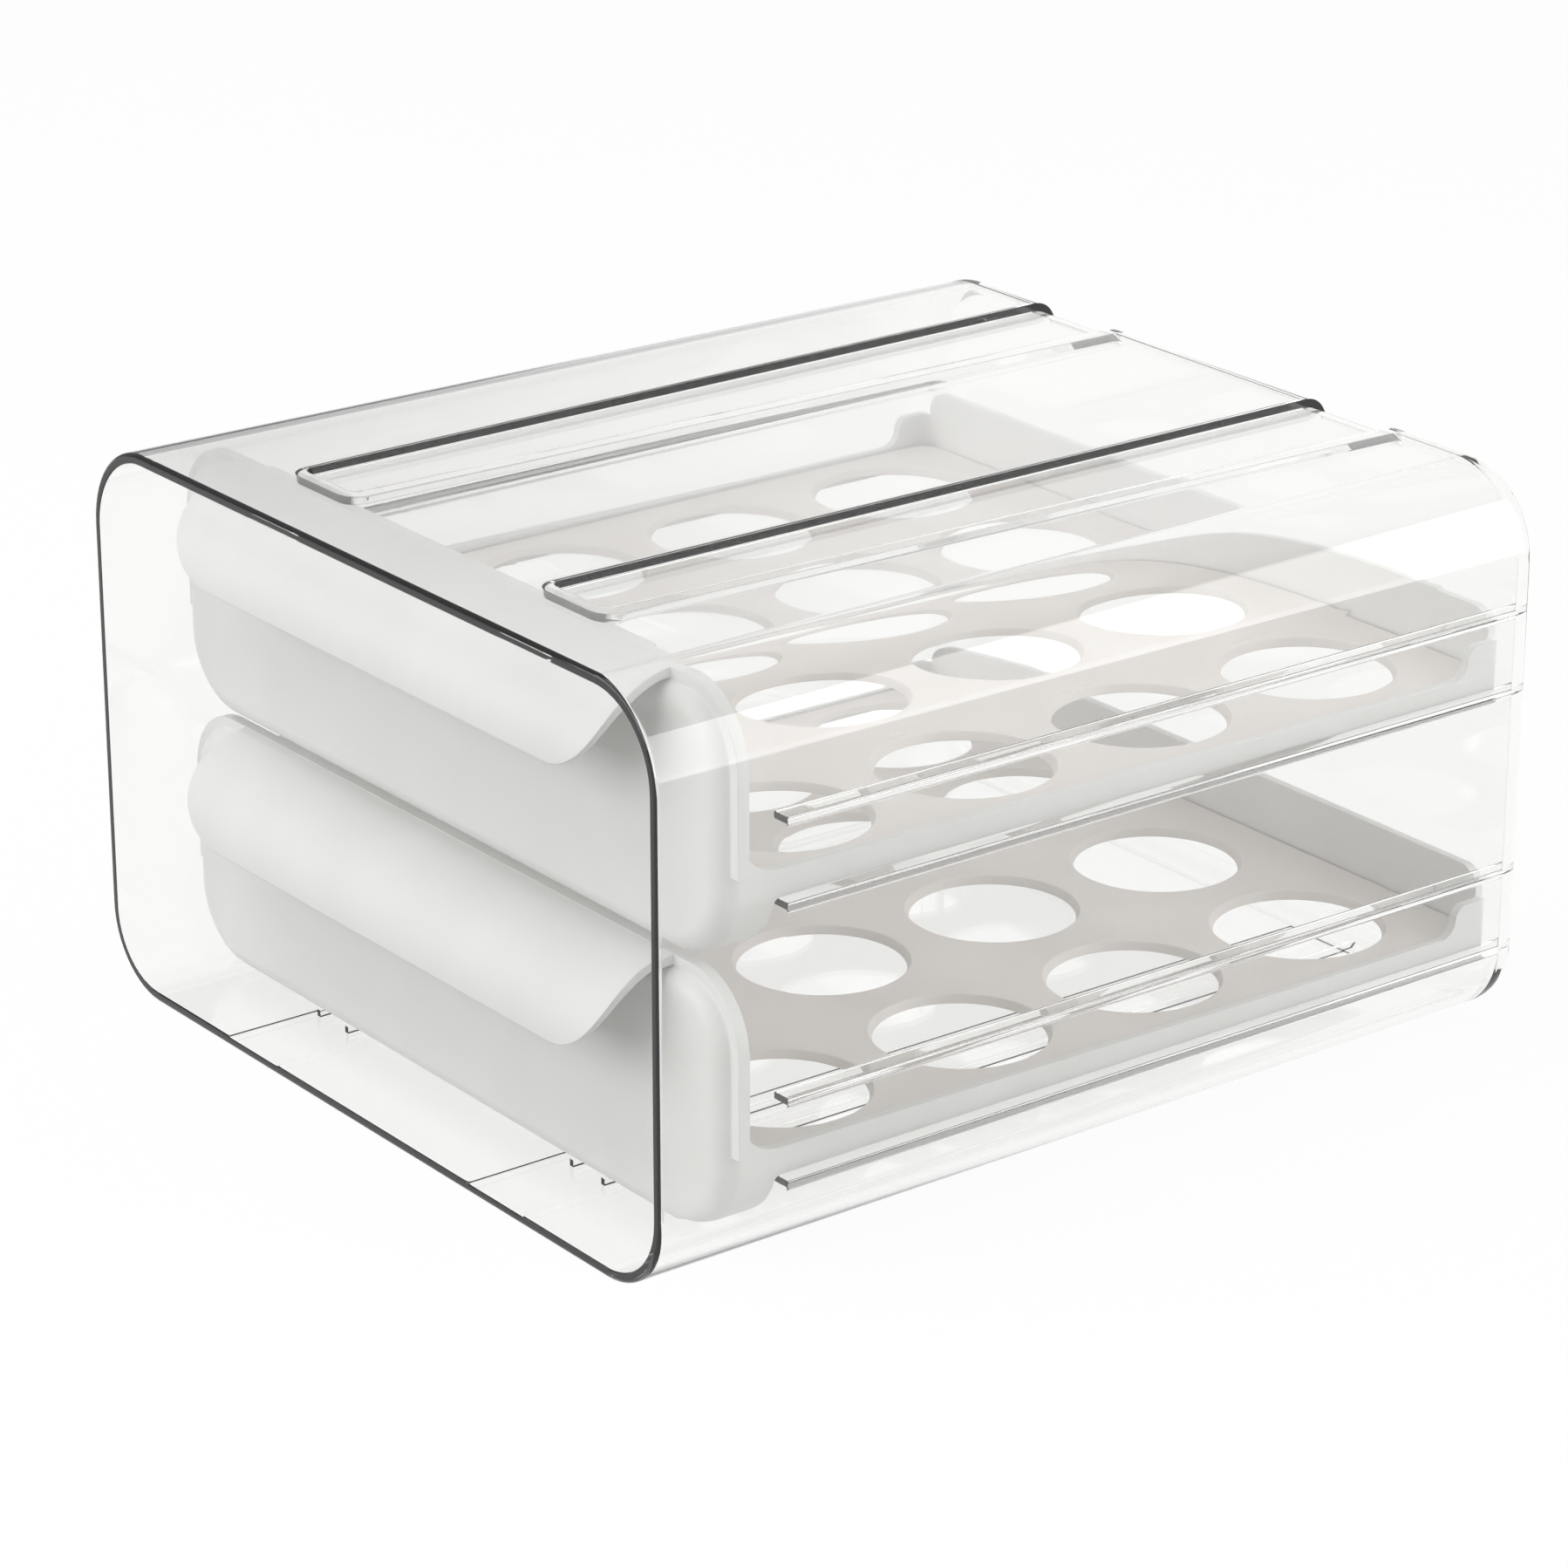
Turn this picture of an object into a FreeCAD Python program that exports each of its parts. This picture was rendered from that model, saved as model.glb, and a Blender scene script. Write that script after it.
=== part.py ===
import FreeCAD, Part
import math
import os

Vector = FreeCAD.Vector

# Two-tier pull-out storage box, all lengths in millimetres.
# The origin is the middle of the underside, +Z is up and the drawers slide out towards -Y.
# A setback is a distance behind the case's front rim. Drawer heights count from the drawer's lowest edge.

# Clear case: one moulding, open at the front, that narrows a little towards its back
case_width = 205.0
case_depth = 231.0
case_height = 126.0
case_wall = 2.3
case_draft = 1.2
case_top_corner = 20.0
case_bottom_corner = 18.0
case_back_rounding = 6.0

# Stacking channels, pressed into the roof and open at the back, a little wider there
channel_setback = 23.0
channel_depth = 2.0
channel_inner_front = 35.5
channel_inner_back = 33.5
channel_outer_front = 54.5
channel_outer_back = 59.0
channel_corner = 2.5

# Floor of the case: two shallow grooves, each with a pair of low ribs
groove_inner = 36.0
groove_outer = 55.5
groove_depth = 0.3
rib_inner = 42.0
rib_outer = 53.0
rib_width = 1.2
rib_height = 1.2
rib_setback = 21.5

# Ledges on the side walls: a runner under each drawer's lip and a ledge above it that stops it tipping
ledge_thickness = 1.6
ledge_overlap = 1.8
ledge_stop_gap = 0.7
runner_clearance = 0.2
tip_clearance = 5.0

# Room between the drawers and the case
floor_clearance = 1.1
tier_gap = 1.8
roof_clearance = 0.9
flange_clearance = 1.2
back_clearance = 4.2

# Drawer front: a shallow dish with a rounded face, cheeks that run back and an inverted-U flange
drawer_wall = 2.0
panel_setback = 18.0
panel_rounding = 5.0
panel_lower_corner = 17.0
flange_stand = 2.0
flange_corner = 15.7
flange_bottom = 20.2
flange_front_setback = 20.8
flange_back_setback = 23.6
cheek_back_setback = 31.3
cheek_back_corner = 6.0
cheek_fillet = 8.0

# Visor handle: the top of the front curls a quarter turn forward and down, open below and at both ends
visor_flat = 1.3
visor_curl = 20.0
visor_drop = 19.8
visor_half = 77.8
visor_corner = 16.5
tongue_half = 69.0
tongue_depth = 1.0

# Drawer frame behind the front: side lips that ride on the runners, rear posts, rear wall and rack ledge
lip_bottom = 13.5
lip_front_top = 19.7
lip_back_top = 17.8
lip_root_fillet = 1.5
lip_end_corner = 2.0
post_length = 10.5
post_height = 24.5
post_corner = 3.0
post_fillet = 4.0
post_lead = 41.0
frame_back_rounding = 4.0
rear_wall_height = 30.4
rear_wall_clearance = 1.2
rear_wall_corner = 5.0
rack_ledge_thickness = 1.7
rack_ledge_side = 7.0
rack_ledge_front = 9.0
rack_ledge_back = 6.2
rack_opening_corner = 8.0

# Rack: a flat plate with round seats, dropped into the drawer frame
rack_thickness = 2.0
rack_clearance = 0.4
rack_corner = 5.5
seat_radius = 18.1
seat_flare = 0.9
seat_web = 10.6

# How far cutting shapes run past what they cut, and how closely an edge must lie in a plane to count as in it
overrun = 3.0
plane_tolerance = 0.01

# Places that follow from the sizes above
inner_half = case_width / 2 - case_wall
flange_half = inner_half - flange_clearance
cheek_half = flange_half - flange_stand
ledge_half = cheek_half - ledge_overlap
ledge_setback = cheek_back_setback + ledge_stop_gap
drawer_back_setback = case_depth - case_wall - back_clearance
lowest_drawer = case_wall + rib_height + floor_clearance
highest_drawer_top = case_height - case_wall - channel_depth - roof_clearance
drawer_height = (highest_drawer_top - lowest_drawer - tier_gap) / 2
tier_bottoms = {"lower": lowest_drawer, "upper": lowest_drawer + drawer_height + tier_gap}
skirt_top = drawer_height - flange_stand
skirt_corner = flange_corner - flange_stand
visor_edge = drawer_height - visor_drop
rack_bottom = lip_bottom + rack_ledge_thickness
seat_pitch = 2 * seat_radius + seat_web


def behind_rim(setback):
    """Y of the plane that lies the given setback behind the case's front rim."""
    return setback - case_depth / 2


def front_view(y):
    """Places outline points (x, z) in the upright plane at y."""
    return lambda u, v: Vector(u, y, v)


def side_view(x):
    """Places outline points (setback, z) in the upright plane at x."""
    return lambda u, v: Vector(x, behind_rim(u), v)


def plan_view(z):
    """Places outline points (x, setback) in the level plane at z."""
    return lambda u, v: Vector(u, behind_rim(v), z)


def outline(corners, place):
    """Closed wire through corners (u, v, radius), each rounded by a tangent arc of its radius."""
    starts, mids, ends = [], [], []
    for index, (u, v, radius) in enumerate(corners):
        point = Vector(u, v, 0)
        before = Vector(*corners[index - 1][:2], 0) - point
        after = Vector(*corners[(index + 1) % len(corners)][:2], 0) - point
        before.normalize()
        after.normalize()
        half_angle = before.getAngle(after) / 2
        inward = before + after
        if radius > 0:
            inward.normalize()
            reach = radius / math.tan(half_angle)
            centre = point + inward * (radius / math.sin(half_angle))
            starts.append(point + before * reach)
            mids.append(centre - inward * radius)
            ends.append(point + after * reach)
        else:
            starts.append(point)
            mids.append(None)
            ends.append(point)
    edges = []
    for index, start in enumerate(starts):
        if ends[index - 1].distanceToPoint(start) > plane_tolerance:
            edges.append(Part.LineSegment(place(*ends[index - 1][:2]), place(*start[:2])).toShape())
        if mids[index] is not None:
            arc = [place(*point[:2]) for point in (start, mids[index], ends[index])]
            edges.append(Part.Arc(*arc).toShape())
    return Part.Wire(edges)


def prism(corners, place, sweep):
    """Solid made by sweeping a rounded outline along a straight line."""
    return Part.Face(outline(corners, place)).extrude(sweep)


def block(x_range, setback_range, z_range):
    """Plain bar between two limits on each axis."""
    size = [high - low for low, high in (x_range, setback_range, z_range)]
    return Part.makeBox(*size, Vector(x_range[0], behind_rim(setback_range[0]), z_range[0]))


def mirrored(shape):
    """The same shape on the other side of the middle plane."""
    return shape.mirror(Vector(0, 0, 0), Vector(1, 0, 0))


def loop_at(shape, setback):
    """Edges of a shape that lie in the upright plane at a setback."""
    y = behind_rim(setback)
    return [edge for edge in shape.Edges
            if abs(edge.BoundBox.YMin - y) < plane_tolerance and abs(edge.BoundBox.YMax - y) < plane_tolerance]


def long_edges(body, upper):
    """Edges of the case's body that run from front to back, in its upper or its lower half."""
    return [edge for edge in body.Edges
            if edge.BoundBox.YLength > case_depth / 2 and (edge.CenterOfMass.z > case_height / 2) == upper]


def case_body(inset, front, back):
    """Tapered body of the case between two setbacks, inset from its outer face, with its long edges rounded."""
    drafts = [case_draft * setback / case_depth for setback in (front, back)]
    front_half, back_half = [case_width / 2 - inset - draft for draft in drafts]
    front_top, back_top = [case_height - inset - draft for draft in drafts]
    body = Part.makeWedge(-front_half, behind_rim(front), inset, inset, -back_half,
                          front_half, behind_rim(back), front_top, back_top, back_half)
    body = body.makeFillet(case_top_corner - inset, long_edges(body, True))
    return body.makeFillet(case_bottom_corner - inset, long_edges(body, False))


def channel_prism(grow):
    """Upright prism over one stacking channel's plan, grown on all sides."""
    front = channel_setback - grow
    back = case_depth + overrun
    corner = channel_corner + grow
    plan = [(channel_inner_front - grow, front, corner), (channel_outer_front + grow, front, corner),
            (channel_outer_back + grow, back, 0), (channel_inner_back - grow, back, 0)]
    return prism(plan, plan_view(case_height / 2), Vector(0, 0, case_height))


def roof_step(body, grow, drop):
    """What of a channel's prism lies above the case's roof lowered by a drop."""
    lowered = body.translated(Vector(0, 0, -drop))
    return channel_prism(grow).cut(lowered)


def case_ledges():
    """Runner and tipping ledge of both tiers on the right-hand wall."""
    ledges = []
    for bottom in tier_bottoms.values():
        runner_top = bottom + lip_bottom - runner_clearance
        tip_bottom = bottom + post_height + tip_clearance
        for low in (runner_top - ledge_thickness, tip_bottom):
            ledges.append(block((ledge_half, case_width / 2), (ledge_setback, case_depth), (low, low + ledge_thickness)))
    return ledges


def floor_ribs():
    """Pair of low ribs on the right-hand half of the floor."""
    top = case_wall + rib_height
    return [block((middle - rib_width / 2, middle + rib_width / 2), (rib_setback, case_depth), (0, top))
            for middle in (rib_inner, rib_outer)]


def outer_case():
    """Clear case. What stands into its room is taken off the room before the room is cut out."""
    body = case_body(0, 0, case_depth)
    body = body.makeFillet(case_back_rounding, loop_at(body, case_depth))
    room = case_body(case_wall, -overrun, case_depth - case_wall)
    room = room.makeChamfer(case_back_rounding - case_wall, loop_at(room, case_depth - case_wall))
    groove = block((groove_inner, groove_outer), (-overrun, case_depth - case_wall - case_back_rounding),
                   (case_wall - groove_depth, case_bottom_corner))
    standing = case_ledges() + floor_ribs() + [roof_step(body, case_wall, channel_depth + case_wall)]
    standing = standing + [mirrored(shape) for shape in standing]
    room = room.fuse([groove, mirrored(groove)]).cut(standing)
    channel = roof_step(body, 0, channel_depth)
    return body.cut(room).cut([channel, mirrored(channel)])


def drawer_blank(inset):
    """Drawer's full-length outer form, inset all round, with its back corners rounded in plan."""
    half = cheek_half - inset
    front = panel_setback + inset
    back = drawer_back_setback - inset
    lower = panel_lower_corner - inset
    upper = skirt_corner - inset
    corners = [(-half, inset, lower), (half, inset, lower),
               (half, skirt_top - inset, upper), (-half, skirt_top - inset, upper)]
    blank = prism(corners, front_view(behind_rim(front)), Vector(0, back - front, 0))
    back_corner = frame_back_rounding - inset
    plan = [(-half, front, 0), (half, front, 0), (half, back, back_corner), (-half, back, back_corner)]
    return blank.common(prism(plan, plan_view(0), Vector(0, 0, drawer_height)))


def drawer_side():
    """Prism across the drawer with its side outline: front, cheek, falling lip and rear post."""
    post_front = drawer_back_setback - post_length
    corners = [(panel_setback - overrun, -overrun, 0),
               (cheek_back_setback, -overrun, 0),
               (cheek_back_setback, lip_bottom, lip_root_fillet),
               (drawer_back_setback, lip_bottom, lip_end_corner),
               (drawer_back_setback, post_height, post_corner),
               (post_front, post_height, post_corner),
               (post_front, lip_back_top, post_fillet),
               (post_front - post_lead, lip_back_top, 0),
               (flange_back_setback, lip_front_top, cheek_fillet),
               (flange_back_setback, drawer_height + overrun, 0),
               (panel_setback - overrun, drawer_height + overrun, 0)]
    width = 2 * (cheek_half + overrun)
    return prism(corners, side_view(-width / 2), Vector(width, 0, 0))


def cheek_heel():
    """Prism across the drawer that rounds off the front's lower back edge."""
    middle = cheek_back_setback - cheek_back_corner
    square = block((-case_width / 2, case_width / 2), (middle, cheek_back_setback + overrun),
                   (-overrun, cheek_back_corner))
    round_bar = Part.makeCylinder(cheek_back_corner, case_width, Vector(-case_width / 2, behind_rim(middle),
                                  cheek_back_corner), Vector(1, 0, 0))
    return square.cut(round_bar)


def rack_ledge():
    """Level frame inside the drawer that carries the rack."""
    half = cheek_half - drawer_wall / 2
    front = panel_setback + drawer_wall / 2
    back = drawer_back_setback - drawer_wall / 2
    front_corner = panel_rounding - drawer_wall / 2
    back_corner = frame_back_rounding - drawer_wall / 2
    plan = [(-half, front, front_corner), (half, front, front_corner),
            (half, back, back_corner), (-half, back, back_corner)]
    opening_half = cheek_half - rack_ledge_side
    opening = [(-opening_half, panel_setback + rack_ledge_front, rack_opening_corner),
               (opening_half, panel_setback + rack_ledge_front, rack_opening_corner),
               (opening_half, drawer_back_setback - rack_ledge_back, rack_opening_corner),
               (-opening_half, drawer_back_setback - rack_ledge_back, rack_opening_corner)]
    rise = Vector(0, 0, rack_ledge_thickness)
    return prism(plan, plan_view(lip_bottom), rise).cut(prism(opening, plan_view(lip_bottom), rise))


def rear_wall():
    """Upright wall across the back of the drawer, between the case's ledges."""
    half = ledge_half - rear_wall_clearance
    corners = [(-half, lip_bottom, 0), (half, lip_bottom, 0),
               (half, rear_wall_height, rear_wall_corner), (-half, rear_wall_height, rear_wall_corner)]
    front = drawer_back_setback - drawer_wall
    return prism(corners, front_view(behind_rim(front)), Vector(0, drawer_wall, 0))


def flange_corners(bottom):
    """Outline of the inverted-U flange from a height upwards."""
    return [(-flange_half, bottom, 0), (flange_half, bottom, 0),
            (flange_half, drawer_height, flange_corner), (-flange_half, drawer_height, flange_corner)]


def flange():
    """Inverted-U flange round the front's cheeks and top, cut off square at its lower ends."""
    depth = Vector(0, flange_back_setback - flange_front_setback, 0)
    place = front_view(behind_rim(flange_front_setback))
    half = cheek_half - drawer_wall
    corner = skirt_corner - drawer_wall
    inside = [(-half, 0, 0), (half, 0, 0),
              (half, skirt_top - drawer_wall, corner), (-half, skirt_top - drawer_wall, corner)]
    return prism(flange_corners(flange_bottom), place, depth).cut(prism(inside, place, depth))


def visor():
    """Handle: a curled sheet in front of the panel, with straight ends and rounded lower corners."""
    front = flange_back_setback - visor_flat - visor_curl
    sheet = [(flange_back_setback, drawer_height, 0),
             (front, drawer_height, visor_curl),
             (front, 0, 0),
             (front + flange_stand, 0, 0),
             (front + flange_stand, skirt_top, visor_curl - flange_stand),
             (flange_back_setback, skirt_top, 0)]
    curled = prism(sheet, side_view(-flange_half), Vector(2 * flange_half, 0, 0))
    face = [(-visor_half, visor_edge, visor_corner),
            (visor_half, visor_edge, visor_corner),
            (visor_half, drawer_height + overrun, 0),
            (-visor_half, drawer_height + overrun, 0)]
    depth = visor_flat + visor_curl + 2 * overrun
    return curled.common(prism(face, front_view(behind_rim(front - overrun)), Vector(0, depth, 0)))


def drawer():
    """White drawer in one moulding, standing on the level of its lowest edge."""
    blank = drawer_blank(0)
    blank = blank.makeFillet(panel_rounding, loop_at(blank, panel_setback))
    hollow = drawer_blank(drawer_wall)
    hollow = hollow.makeChamfer(panel_rounding - drawer_wall, loop_at(hollow, panel_setback + drawer_wall))
    shell = blank.cut(hollow).common(drawer_side()).cut(cheek_heel())
    tongue = block((-tongue_half, tongue_half), (flange_back_setback, flange_back_setback + tongue_depth),
                   (skirt_top, drawer_height))
    return shell.fuse([rack_ledge(), rear_wall(), flange(), visor(), tongue]).removeSplitter()


def seat_places(start, end):
    """Middles of as many seats as fit between two limits, centred between them."""
    count = int((end - start + seat_web) // seat_pitch)
    first = (start + end - (count - 1) * seat_pitch) / 2
    return [first + index * seat_pitch for index in range(count)]


def egg_rack():
    """Rack plate with a grid of round seats that widen towards the top."""
    half = cheek_half - drawer_wall - rack_clearance
    front = panel_setback + drawer_wall + rack_clearance
    back = drawer_back_setback - drawer_wall - rack_clearance
    plan = [(-half, front, rack_corner), (half, front, rack_corner),
            (half, back, rack_corner), (-half, back, rack_corner)]
    plate = prism(plan, plan_view(rack_bottom), Vector(0, 0, rack_thickness))
    opening_half = cheek_half - rack_ledge_side
    rows = seat_places(panel_setback + rack_ledge_front, drawer_back_setback - rack_ledge_back)
    seats = []
    for x in seat_places(-opening_half, opening_half):
        for row in rows:
            foot = Vector(x, behind_rim(row), rack_bottom)
            seats.append(Part.makeCone(seat_radius, seat_radius + seat_flare, rack_thickness, foot))
    return plate.cut(seats).removeSplitter()


os.makedirs("parts", exist_ok=True)
pieces = {"outer_case": outer_case()}
drawer_shape = drawer()
rack_shape = egg_rack()
for tier, bottom in tier_bottoms.items():
    pieces[tier + "_drawer"] = drawer_shape.translated(Vector(0, 0, bottom))
    pieces[tier + "_egg_rack"] = rack_shape.translated(Vector(0, 0, bottom))
for name, shape in pieces.items():
    box = shape.BoundBox
    print(name, "solids", len(shape.Solids), "valid", shape.isValid(), "volume", round(shape.Volume),
          "x", round(box.XMin, 2), round(box.XMax, 2), "y", round(box.YMin, 2), round(box.YMax, 2),
          "z", round(box.ZMin, 2), round(box.ZMax, 2))
    shape.exportStep("parts/" + name + ".step")
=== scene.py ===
import math

import bmesh
import bpy
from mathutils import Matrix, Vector


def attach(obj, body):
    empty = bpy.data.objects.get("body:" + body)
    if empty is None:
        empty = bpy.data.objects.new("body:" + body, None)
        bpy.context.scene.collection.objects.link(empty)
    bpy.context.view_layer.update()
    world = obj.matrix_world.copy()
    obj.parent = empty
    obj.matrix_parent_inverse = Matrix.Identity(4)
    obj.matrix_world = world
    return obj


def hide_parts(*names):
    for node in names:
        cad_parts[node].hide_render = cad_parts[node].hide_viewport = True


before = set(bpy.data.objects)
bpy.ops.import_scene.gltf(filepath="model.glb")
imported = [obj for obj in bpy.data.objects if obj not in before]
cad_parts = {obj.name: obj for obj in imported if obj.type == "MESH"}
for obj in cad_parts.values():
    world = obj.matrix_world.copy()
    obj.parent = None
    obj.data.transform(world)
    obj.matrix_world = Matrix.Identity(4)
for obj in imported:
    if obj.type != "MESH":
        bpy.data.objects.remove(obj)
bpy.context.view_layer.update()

scene = bpy.context.scene
mm = 0.001

# Clear case: one injection moulding in clear polystyrene, open at the front, with ledges on its side
# walls for the drawers and two stacking channels pressed into its roof. It stands on its own flat
# floor, and a polished mould leaves its edges crisp but not razor-sharp.
case_edge_radius = 0.35 * mm
edge_segments = 2
rim_radius = 1.0 * mm
rim_segments = 4
rim_plane = -115.4 * mm
front_facing = -0.5
case_middle_height = 63 * mm
case_rear_zone = 109 * mm
floor_rib_half_width = 57 * mm
floor_rib_top = 4 * mm
same_point = 0.001 * mm
flat_within = math.radians(0.5)
sharp_beyond = math.radians(28)
crease_beyond = math.radians(50)


def middle_of(edge):
    """Point halfway along a mesh edge."""
    return (edge.verts[0].co + edge.verts[1].co) / 2


def welded_copy(node):
    """Editable mesh of a CAD solid with its facets joined."""
    work = bmesh.new()
    work.from_mesh(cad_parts[node].data)
    bmesh.ops.remove_doubles(work, verts=work.verts, dist=same_point)
    return work


def break_edges(work, edges, radius, segments):
    """Rounds sharp edges off as a mould does."""
    bmesh.ops.bevel(work, geom=edges, offset=radius, offset_type="OFFSET", segments=segments,
                    profile=0.5, affect="EDGES", clamp_overlap=False, loop_slide=False, material=-1)


def moulding(work, name, edge_radius, left_sharp):
    """Object from an editable mesh, its sharp edges broken unless left_sharp holds at their middle."""
    broken = [edge for edge in work.edges
              if edge.calc_face_angle() > sharp_beyond and not left_sharp(middle_of(edge))]
    break_edges(work, broken, edge_radius, edge_segments)
    for edge in work.edges:
        turn = edge.calc_face_angle(0)
        unbroken = turn > sharp_beyond and left_sharp(middle_of(edge))
        edge.smooth = turn < crease_beyond and not unbroken
    mesh = bpy.data.meshes.new(name)
    work.to_mesh(mesh)
    work.free()
    if "custom_normal" in mesh.attributes:
        mesh.attributes.remove(mesh.attributes["custom_normal"])
    mesh.materials.clear()
    mesh.shade_smooth()
    piece = bpy.data.objects.new(name, mesh)
    scene.collection.objects.link(piece)
    flat_faces = piece.modifiers.new("flat_faces_stay_flat", "WEIGHTED_NORMAL")
    flat_faces.keep_sharp = True
    return piece


def linear(hex_colour):
    """Linear red, green, blue and full alpha from an sRGB hex colour."""
    values = [int(hex_colour[place:place + 2], 16) / 255 for place in (1, 3, 5)]
    return [v / 12.92 if v <= 0.04045 else ((v + 0.055) / 1.055) ** 2.4 for v in values] + [1.0]


def add_node(owner, kind, settings=(), links=()):
    """New shader node; settings name its inputs or properties, links its inputs by name or number."""
    node = owner.node_tree.nodes.new(kind)
    for key, value in dict(settings).items():
        if key in node.inputs:
            node.inputs[key].default_value = value
        else:
            setattr(node, key, value)
    for key, source in dict(links).items():
        owner.node_tree.links.new(source, node.inputs[key])
    return node


def new_material(name):
    """Empty node material."""
    material = bpy.data.materials.new(name)
    material.use_nodes = True
    material.node_tree.nodes.clear()
    return material


# Clear polystyrene from a polished mould: water-clear and glossy, with a faint uneven haze where the
# melt cooled more slowly. Lamps shine through it, so what is inside isn't shaded by the case.
styrene_tone = "#FDFDFC"
styrene_lamp_tone = "#F2F2F2"
styrene_ior = 1.57
haze_size = 30 * mm
haziest = 0.02
noise_spread = (0.3, 0.7)

clear_styrene = new_material("clear_moulded_styrene")
place = add_node(clear_styrene, "ShaderNodeTexCoord")
haze = add_node(clear_styrene, "ShaderNodeTexNoise", {"Scale": 1 / haze_size, "Detail": 2.0},
                {"Vector": place.outputs["Object"]})
haze_roughness = add_node(clear_styrene, "ShaderNodeMapRange",
                          {"From Min": noise_spread[0], "From Max": noise_spread[1],
                           "To Min": 0.0, "To Max": haziest},
                          {"Value": haze.outputs["Fac"]})
styrene = add_node(clear_styrene, "ShaderNodeBsdfPrincipled",
                   {"Base Color": linear(styrene_tone), "IOR": styrene_ior,
                    "Transmission Weight": 1.0},
                   {"Roughness": haze_roughness.outputs["Result"]})
lamp_path = add_node(clear_styrene, "ShaderNodeLightPath")
let_through = add_node(clear_styrene, "ShaderNodeBsdfTransparent",
                       {"Color": linear(styrene_lamp_tone)})
lit_through = add_node(clear_styrene, "ShaderNodeMixShader", (),
                       {"Fac": lamp_path.outputs["Is Shadow Ray"], 1: styrene.outputs["BSDF"],
                        2: let_through.outputs["BSDF"]})
add_node(clear_styrene, "ShaderNodeOutputMaterial", (), {"Surface": lit_through.outputs["Shader"]})


def on_rim(edge):
    """True for the outer edge of the case's front rim."""
    spot = middle_of(edge)
    outward = Vector((spot.x, 0, spot.z - case_middle_height))
    walls = [face for face in edge.link_faces if face.normal.y > front_facing]
    return spot.y < rim_plane and any(face.normal.dot(outward) > 0 for face in walls)


def case_left_sharp(spot):
    """True near the back, where the channels run out, and at the low ribs and grooves on the floor."""
    on_floor = (abs(spot.x) < floor_rib_half_width and spot.z < floor_rib_top
                and spot.y > rim_plane)
    return on_floor or spot.y > case_rear_zone


case_mesh = welded_copy("outer_case")
bmesh.ops.dissolve_limit(case_mesh, angle_limit=flat_within, verts=case_mesh.verts,
                         edges=case_mesh.edges)
rim = [edge for edge in case_mesh.edges if edge.calc_face_angle() > sharp_beyond and on_rim(edge)]
break_edges(case_mesh, rim, rim_radius, rim_segments)
case = moulding(case_mesh, "case_shell", case_edge_radius, case_left_sharp)
case.data.materials.append(clear_styrene)
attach(case, "case")
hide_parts("outer_case")

# Drawers: two like injection mouldings in white polypropylene, each sliding on the case's ledges by
# the lips along its sides. The front is a shallow dish whose top curls over into a visor handle.
drawer_edge_radius = 0.25 * mm
post_side = 80 * mm
post_front = 80 * mm
lip_root_side = 93 * mm
lip_root_front = -86 * mm
lip_root_back = -60 * mm
visor_root_half_width = 82 * mm
visor_root_front = -97 * mm
visor_root_back = -93.5 * mm


def in_tight_corner(spot):
    """True at the rear posts, the lips' roots and under the visor, where edges crowd together."""
    at_post = abs(spot.x) > post_side and spot.y > post_front
    at_lip_root = abs(spot.x) > lip_root_side and lip_root_front < spot.y < lip_root_back
    at_visor_root = (abs(spot.x) < visor_root_half_width
                     and visor_root_front < spot.y < visor_root_back)
    return at_post or at_lip_root or at_visor_root


# Polypropylene from a spark-eroded mould: satin to matt, faintly cloudy and finely grained. The real
# grain is about 0.1 mm, too fine to show, so it is drawn at 0.7 mm.
polypropylene_ior = 1.49
grain_size = 0.7 * mm
grain_depth = 0.05 * mm
grain_strength = 0.1


def moulded_polypropylene(name, cloud_size, tones, roughness_range):
    """Material with clouds of two tones, which are also a little more or less matt, and a fine grain."""
    material = new_material(name)
    place = add_node(material, "ShaderNodeTexCoord")
    cloud = add_node(material, "ShaderNodeTexNoise", {"Scale": 1 / cloud_size, "Detail": 3.0},
                     {"Vector": place.outputs["Object"]})
    tint = add_node(material, "ShaderNodeValToRGB", (), {"Fac": cloud.outputs["Fac"]})
    for stop, position, tone in zip(tint.color_ramp.elements, noise_spread, tones):
        stop.position = position
        stop.color = linear(tone)
    grain = add_node(material, "ShaderNodeTexNoise", {"Scale": 1 / grain_size, "Detail": 2.0},
                     {"Vector": place.outputs["Object"]})
    relief = add_node(material, "ShaderNodeBump",
                      {"Strength": grain_strength, "Distance": grain_depth},
                      {"Height": grain.outputs["Fac"]})
    gloss = add_node(material, "ShaderNodeMapRange",
                     {"To Min": roughness_range[0], "To Max": roughness_range[1]},
                     {"Value": cloud.outputs["Fac"]})
    plastic = add_node(material, "ShaderNodeBsdfPrincipled", {"IOR": polypropylene_ior},
                       {"Base Color": tint.outputs["Color"], "Roughness": gloss.outputs["Result"],
                        "Normal": relief.outputs["Normal"]})
    add_node(material, "ShaderNodeOutputMaterial", (), {"Surface": plastic.outputs["BSDF"]})
    return material


# White pigment gives the drawers a cool, even white with a soft satin shine.
white_polypropylene = moulded_polypropylene("white_satin_polypropylene", cloud_size=25 * mm,
                                            tones=("#E6E6E4", "#EAEAE9"),
                                            roughness_range=(0.38, 0.5))
for tier in ("upper", "lower"):
    drawer = moulding(welded_copy(tier + "_drawer"), tier + "_white_drawer", drawer_edge_radius,
                      in_tight_corner)
    drawer.data.materials.append(white_polypropylene)
    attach(drawer, tier + "_tray")
    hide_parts(tier + "_drawer")

# Racks: flat plates with round seats, injection moulded in polypropylene and dropped into the drawers'
# frames. All their edges are broken, down to those of the seats.
rack_edge_radius = 0.3 * mm


def nowhere(spot):
    """No edge of a rack is left sharp."""
    return False


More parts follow.
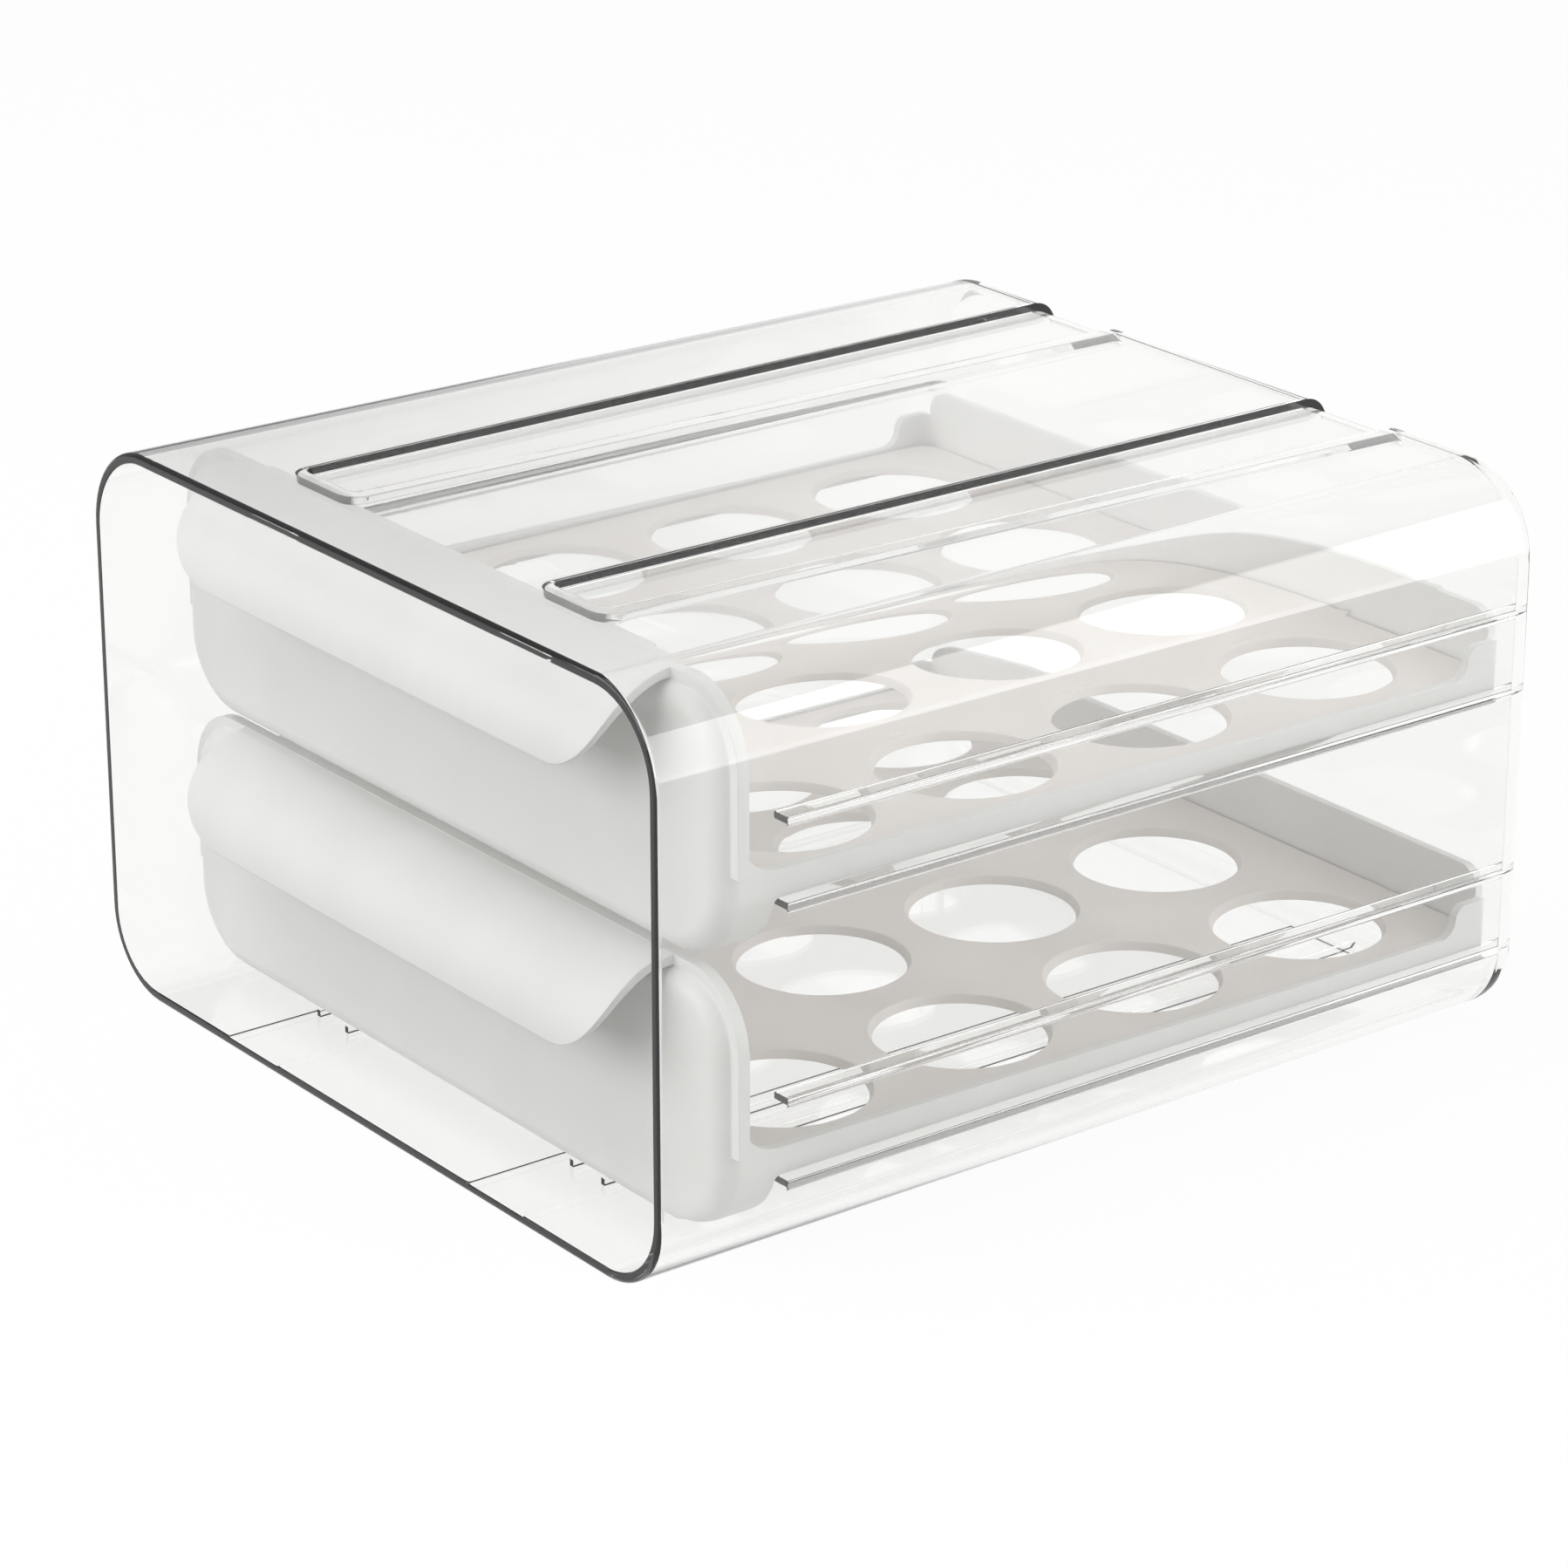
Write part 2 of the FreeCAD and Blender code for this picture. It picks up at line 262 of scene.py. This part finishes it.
# Less pigment than in the drawers leaves the racks warmer and more matt.
warm_polypropylene = moulded_polypropylene("warm_matt_polypropylene", cloud_size=20 * mm,
                                           tones=("#E6E1DD", "#EBE7E4"),
                                           roughness_range=(0.45, 0.58))
for tier in ("upper", "lower"):
    rack = moulding(welded_copy(tier + "_egg_rack"), tier + "_seat_rack", rack_edge_radius, nowhere)
    rack.data.materials.append(warm_polypropylene)
    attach(rack, tier + "_tray")
    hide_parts(tier + "_egg_rack")

# Floor: a wide sweep of white paper that the box stands on and that takes its soft shadow. It shows
# white to the camera and in the clear plastic, and lights the box only as pale paper does.
floor_half = 6.0
paper_tone = "#B4B4B2"
paper_glow = 1.1
paper_glow_share = 0.85

floor_shape = bmesh.new()
bmesh.ops.create_grid(floor_shape, x_segments=1, y_segments=1, size=floor_half)
floor_mesh = bpy.data.meshes.new("studio_floor")
floor_shape.to_mesh(floor_mesh)
floor_shape.free()
floor = bpy.data.objects.new("studio_floor", floor_mesh)
scene.collection.objects.link(floor)

floor_paper = new_material("white_paper_sweep")
path = add_node(floor_paper, "ShaderNodeLightPath")
seen = add_node(floor_paper, "ShaderNodeMath", {"operation": "MAXIMUM"},
                {0: path.outputs["Is Camera Ray"], 1: path.outputs["Is Glossy Ray"]})
seen_through = add_node(floor_paper, "ShaderNodeMath", {"operation": "MAXIMUM"},
                        {0: seen.outputs[0], 1: path.outputs["Is Transmission Ray"]})
lift = add_node(floor_paper, "ShaderNodeMath", {"operation": "MULTIPLY"},
                {0: seen_through.outputs[0]})
lift.inputs[1].default_value = paper_glow_share
paper = add_node(floor_paper, "ShaderNodeBsdfDiffuse", {"Color": linear(paper_tone)})
glow = add_node(floor_paper, "ShaderNodeEmission",
                {"Color": linear("#FFFFFF"), "Strength": paper_glow})
mixed = add_node(floor_paper, "ShaderNodeMixShader", (),
                 {"Fac": lift.outputs[0], 1: paper.outputs[0], 2: glow.outputs[0]})
add_node(floor_paper, "ShaderNodeOutputMaterial", (), {"Surface": mixed.outputs[0]})
floor_mesh.materials.append(floor_paper)

# Room: pale, brightest behind the box and darkest behind the camera, which draws the dark lines in the
# clear plastic. Plain mirrored light never falls below half, so the roof stays clear from behind too,
# and matt surfaces get an even light that grows towards the ceiling.
brightest_way = (-0.17, 0.95, 0.26)
room_tones = ((0.25, 0.12), (0.68, 0.45), (0.78, 1.0))
least_mirrored = 0.5
skirting_light = 0.24
ceiling_light = 0.6
white_to_camera = 1.0

world = bpy.data.worlds.new("pale_room")
scene.world = world
world.use_nodes = True
world.node_tree.nodes.clear()
path = add_node(world, "ShaderNodeLightPath")
direction = add_node(world, "ShaderNodeTexCoord")
bright_side = add_node(world, "ShaderNodeVectorMath", {"operation": "DOT_PRODUCT"},
                       {0: direction.outputs["Generated"]})
bright_side.inputs[1].default_value = brightest_way
backdrop = add_node(world, "ShaderNodeValToRGB", (), {"Fac": bright_side.outputs["Value"]})
backdrop.color_ramp.elements.new(room_tones[1][0])
for stop, (position, tone) in zip(backdrop.color_ramp.elements, room_tones):
    stop.position = position
    stop.color = (tone, tone, tone, 1.0)
mirrored = add_node(world, "ShaderNodeMath", {"operation": "MULTIPLY"},
                    {0: path.outputs["Is Glossy Ray"]})
mirrored.inputs[1].default_value = least_mirrored
shown = add_node(world, "ShaderNodeMath", {"operation": "MAXIMUM"},
                 {0: backdrop.outputs["Color"], 1: mirrored.outputs[0]})
height = add_node(world, "ShaderNodeSeparateXYZ", (), {"Vector": direction.outputs["Generated"]})
even_light = add_node(world, "ShaderNodeMapRange",
                      {"To Min": skirting_light, "To Max": ceiling_light},
                      {"Value": height.outputs["Z"]})
for_diffuse = add_node(world, "ShaderNodeMix", {"data_type": "FLOAT"},
                       {"Factor": path.outputs["Is Diffuse Ray"], 2: shown.outputs[0],
                        3: even_light.outputs["Result"]})
for_camera = add_node(world, "ShaderNodeMix", {"data_type": "FLOAT"},
                      {"Factor": path.outputs["Is Camera Ray"], 2: for_diffuse.outputs[0]})
for_camera.inputs[3].default_value = white_to_camera
room = add_node(world, "ShaderNodeBackground", {"Color": linear("#FFFFFF")},
                {"Strength": for_camera.outputs[0]})
add_node(world, "ShaderNodeOutputWorld", (), {"Surface": room.outputs[0]})

# Lamps: a large softbox before the front shapes the drawers, one overhead lights the curl of the
# handles, and a tall one at the right rear draws the bright band along the case.
box_middle = (0, 0, 0.06)
side_lamp_height = 0.47


def softbox(name, place, aim, width, height, power):
    """Rectangular area lamp that points from its place at an aim; metres and watts."""
    lamp = bpy.data.lights.new(name, "AREA")
    lamp.shape = "RECTANGLE"
    lamp.size = width
    lamp.size_y = height
    lamp.energy = power
    holder = bpy.data.objects.new(name, lamp)
    holder.location = place
    holder.rotation_euler = (Vector(aim) - Vector(place)).to_track_quat("-Z", "Y").to_euler()
    scene.collection.objects.link(holder)


softbox("front_softbox", (-0.45, -1.25, 0.55), box_middle, width=1.4, height=0.9, power=9.6)
softbox("top_softbox", (-0.2, -0.5, 1.3), box_middle, width=1.0, height=0.8, power=4)
softbox("side_softbox", (0.8, 0.7, side_lamp_height), (0, 0, side_lamp_height), width=0.9,
        height=2 * side_lamp_height, power=5.5)

# Camera: a long lens at the photograph's place, well above the front's right-hand corner, so that the
# box's edges draw together only as much as they do there.
view_target = Vector((-3.4, -5.2, 50.5)) * mm
view_azimuth = math.radians(52.80)
view_elevation = math.radians(21.39)
view_distance = 1186 * mm
sensor_width_mm = 36.0
focal_length_mm = 126.15
far_limit = 50.0

look_back = Vector((math.sin(view_azimuth) * math.cos(view_elevation),
                    -math.cos(view_azimuth) * math.cos(view_elevation),
                    math.sin(view_elevation)))
lens = bpy.data.cameras.new("camera")
lens.sensor_width = sensor_width_mm
lens.lens = focal_length_mm
lens.clip_end = far_limit
camera = bpy.data.objects.new("camera", lens)
camera.location = view_target + look_back * view_distance
camera.rotation_euler = look_back.to_track_quat("Z", "Y").to_euler()
scene.collection.objects.link(camera)
scene.camera = camera

scene.view_settings.view_transform = "Standard"
